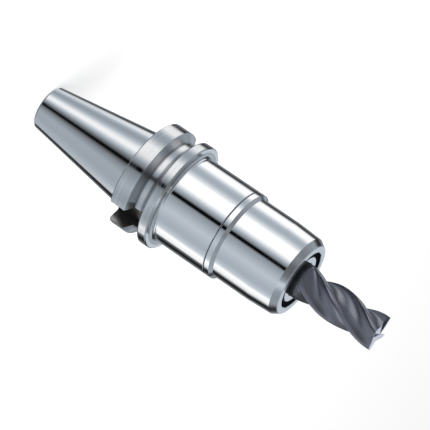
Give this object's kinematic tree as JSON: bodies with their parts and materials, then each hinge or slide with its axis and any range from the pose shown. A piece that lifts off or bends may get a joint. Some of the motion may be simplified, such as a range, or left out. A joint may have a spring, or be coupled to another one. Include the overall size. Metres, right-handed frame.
{
  "type": "milling chuck",
  "caption": "Taper-shank tool holder whose roller nut squeezes a thin sleeve onto a straight tool shank, shown with a fluted end mill clamped in its bore.",
  "frame": {"origin": "centre of the taper's gauge plane, on the spindle axis", "axes": "+Z along the spindle axis toward the tip of the tool; the two drive keyways lie along +X and -X"},
  "size_m": [0.063, 0.063, 0.2216],
  "materials": {
    "ground_steel": "ground and polished",
    "nut_steel": "ground and polished",
    "spring_steel": "dark spring steel",
    "roller_steel": "hardened and lapped",
    "cage_brass": "turned",
    "washer_plastic": "matte",
    "black_rubber": "matte",
    "black_steel": "black oxide",
    "tool_coating": "dark violet-grey coating"
  },
  "bodies": {
    "holder": {"holder_body": "ground_steel", "end_mill": "tool_coating", "sleeve_stop_ring": "spring_steel"},
    "nut_slide": {"front_seal": "black_rubber", "skirt_o_ring": "black_rubber"},
    "nut": {"clamp_nut": "nut_steel", "nut_stop_ring": "spring_steel"},
    "cage_slide": {"cage_washer_front": "washer_plastic", "cage_washer_rear": "washer_plastic"},
    "cage": {"roller_cage": "cage_brass", "roller_row_1": "roller_steel", "roller_row_2": "roller_steel", "roller_row_3": "roller_steel", "roller_row_4": "roller_steel"},
    "stop_slide": {"stop_o_ring": "black_rubber"},
    "stop": {"stop_screw": "black_steel"}
  },
  "joints": [
    {"name": "nut_travel", "type": "slide", "parent": "holder", "child": "nut_slide", "axis": [0, 0, 1], "range_m": [0, 0.0025]},
    {"name": "nut_turn", "type": "hinge", "parent": "nut_slide", "child": "nut", "pos_m": [0, 0, 0.08], "axis": [0, 0, 1], "range_deg": [0, 360]},
    {"name": "cage_travel", "type": "slide", "parent": "holder", "child": "cage_slide", "axis": [0, 0, 1], "range_m": [0, 0.00125]},
    {"name": "cage_turn", "type": "hinge", "parent": "cage_slide", "child": "cage", "pos_m": [0, 0, 0.085], "axis": [0, 0, 1], "range_deg": [0, 195.1]},
    {"name": "stop_travel", "type": "slide", "parent": "holder", "child": "stop_slide", "axis": [0, 0, 1], "range_m": [-0.008, 0]},
    {"name": "stop_turn", "type": "hinge", "parent": "stop_slide", "child": "stop", "pos_m": [0, 0, 0.04], "axis": [0, 0, 1], "range_deg": [-1646, 0]}
  ],
  "couplings": [
    {"joint": "nut_travel", "follows": "nut_turn", "m_per_rad": 0.00039789},
    {"joint": "cage_turn", "follows": "nut_turn", "ratio": 0.5417},
    {"joint": "cage_travel", "follows": "nut_turn", "m_per_rad": 0.00019894},
    {"joint": "stop_turn", "follows": "stop_travel", "rad_per_m": 3590.4}
  ]
}
